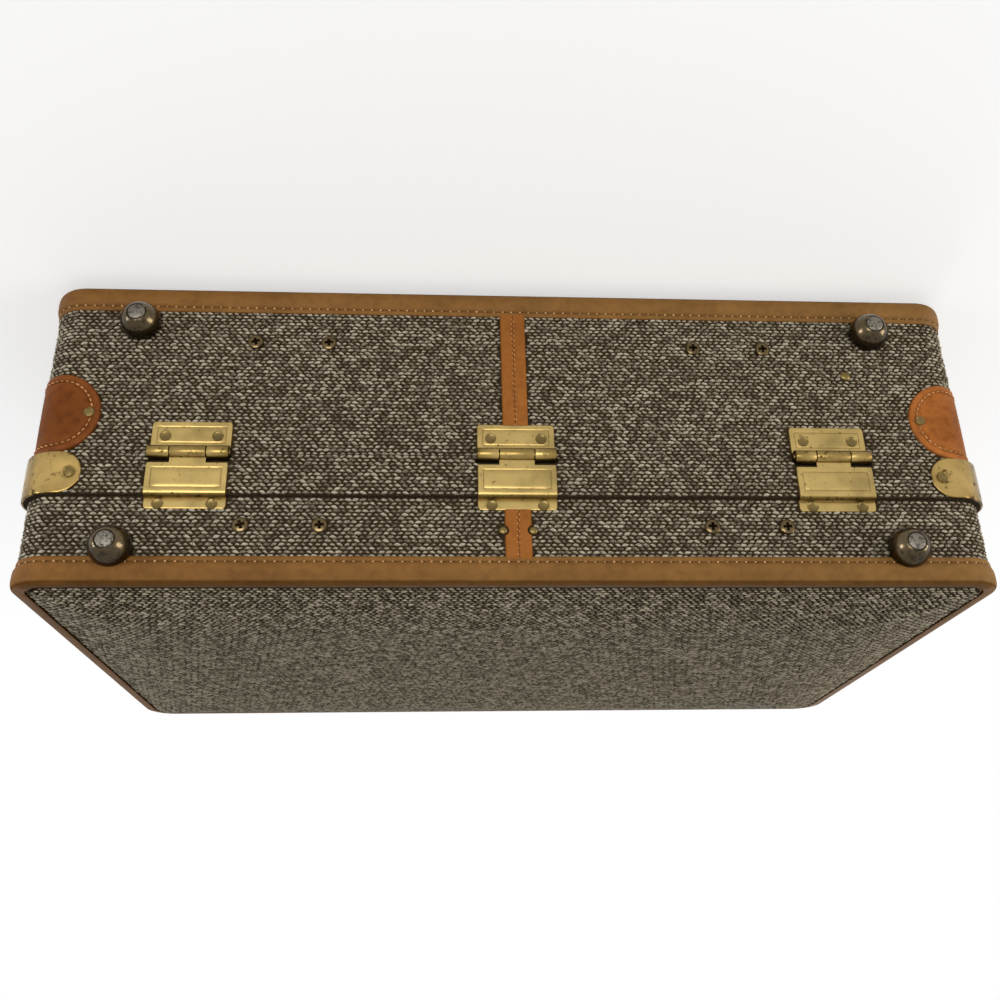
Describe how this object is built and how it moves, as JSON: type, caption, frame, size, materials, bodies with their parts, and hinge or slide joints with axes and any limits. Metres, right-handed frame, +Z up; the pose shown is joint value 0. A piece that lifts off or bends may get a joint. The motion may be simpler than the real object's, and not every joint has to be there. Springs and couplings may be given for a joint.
{
  "type": "suitcase",
  "caption": "Hard-sided tweed suitcase with leather edge binding, a lid on rolled-knuckle hinges, sprung slide latches, a swinging handle and domed glides.",
  "frame": {"origin": "middle of the flat on the deep half's face, on which the case lies", "axes": "+Z up through the lid, X along the length, +Y out of the hinge wall, -Y out of the handle wall"},
  "size_m": [0.5382, 0.3498, 0.196],
  "materials": {
    "tweed": "coarse two-tone woven tweed",
    "binding": "smooth brown edge binding",
    "tan_leather": "polished belting leather",
    "wood": "bent plywood",
    "lining": "smooth satin lining",
    "brass": "polished, slightly tarnished",
    "bronze": "dark antique bronze",
    "steel": "plated",
    "aluminium": "satin extrusion"
  },
  "bodies": {
    "base": {"base_binding": "binding", "base_centre_strap": "tan_leather", "base_corner_leathers": "tan_leather", "base_corner_rivets": "brass", "base_face_covering": "tweed", "base_face_panel": "wood", "base_feet": "bronze", "base_foot_studs": "steel", "base_frame_screws": "bronze", "base_lining": "lining", "base_rim": "aluminium", "base_wall_covering": "tweed", "base_wall_frame": "wood", "base_wall_plug": "brass", "handle_brackets": "brass", "handle_rivets": "brass", "hinge_base_rivets": "brass", "hinge_centre_base_leaf": "brass", "hinge_left_base_leaf": "brass", "hinge_right_base_leaf": "brass", "latch_case_rivets": "brass", "latch_left_case": "brass", "latch_right_case": "brass", "packing_buckles": "brass", "packing_straps": "tan_leather"},
    "lid": {"hinge_centre_lid_leaf": "brass", "hinge_left_lid_leaf": "brass", "hinge_lid_rivets": "brass", "hinge_right_lid_leaf": "brass", "latch_lid_plates": "brass", "latch_plate_rivets": "brass", "lid_binding": "binding", "lid_centre_strap": "tan_leather", "lid_corner_guards": "brass", "lid_corner_rivets": "brass", "lid_face_covering": "tweed", "lid_face_panel": "wood", "lid_feet": "bronze", "lid_foot_studs": "steel", "lid_frame_screws": "bronze", "lid_lining": "lining", "lid_pocket": "lining", "lid_raised_band": "tweed", "lid_strap_rivets": "brass", "lid_wall_covering": "tweed", "lid_wall_frame": "wood"},
    "hasp_left": {"latch_left_hasp": "brass"},
    "hasp_right": {"latch_right_hasp": "brass"},
    "slider_left": {"latch_left_slider": "brass"},
    "slider_right": {"latch_right_slider": "brass"},
    "handle": {"handle_core": "steel", "handle_grip": "tan_leather"}
  },
  "joints": [
    {"name": "lid_hinge", "type": "hinge", "parent": "base", "child": "lid", "pos_m": [0, 0.1605, 0.1145], "axis": [-1, 0, 0], "range_deg": [0, 165]},
    {"name": "hasp_left_swing", "type": "hinge", "parent": "lid", "child": "hasp_left", "pos_m": [-0.16, -0.163, 0.1199], "axis": [-1, 0, 0], "range_deg": [0, 120]},
    {"name": "hasp_right_swing", "type": "hinge", "parent": "lid", "child": "hasp_right", "pos_m": [0.16, -0.163, 0.1199], "axis": [-1, 0, 0], "range_deg": [0, 120]},
    {"name": "slider_left_slide", "type": "slide", "parent": "base", "child": "slider_left", "axis": [-1, 0, 0], "range_m": [0, 0.007], "stiffness_N_per_m": 120, "springref_m": -0.01},
    {"name": "slider_right_slide", "type": "slide", "parent": "base", "child": "slider_right", "axis": [1, 0, 0], "range_m": [0, 0.007], "stiffness_N_per_m": 120, "springref_m": -0.01},
    {"name": "handle_swing", "type": "hinge", "parent": "base", "child": "handle", "pos_m": [0, -0.1695, 0.096], "axis": [-1, 0, 0], "range_deg": [0, 150]}
  ]
}
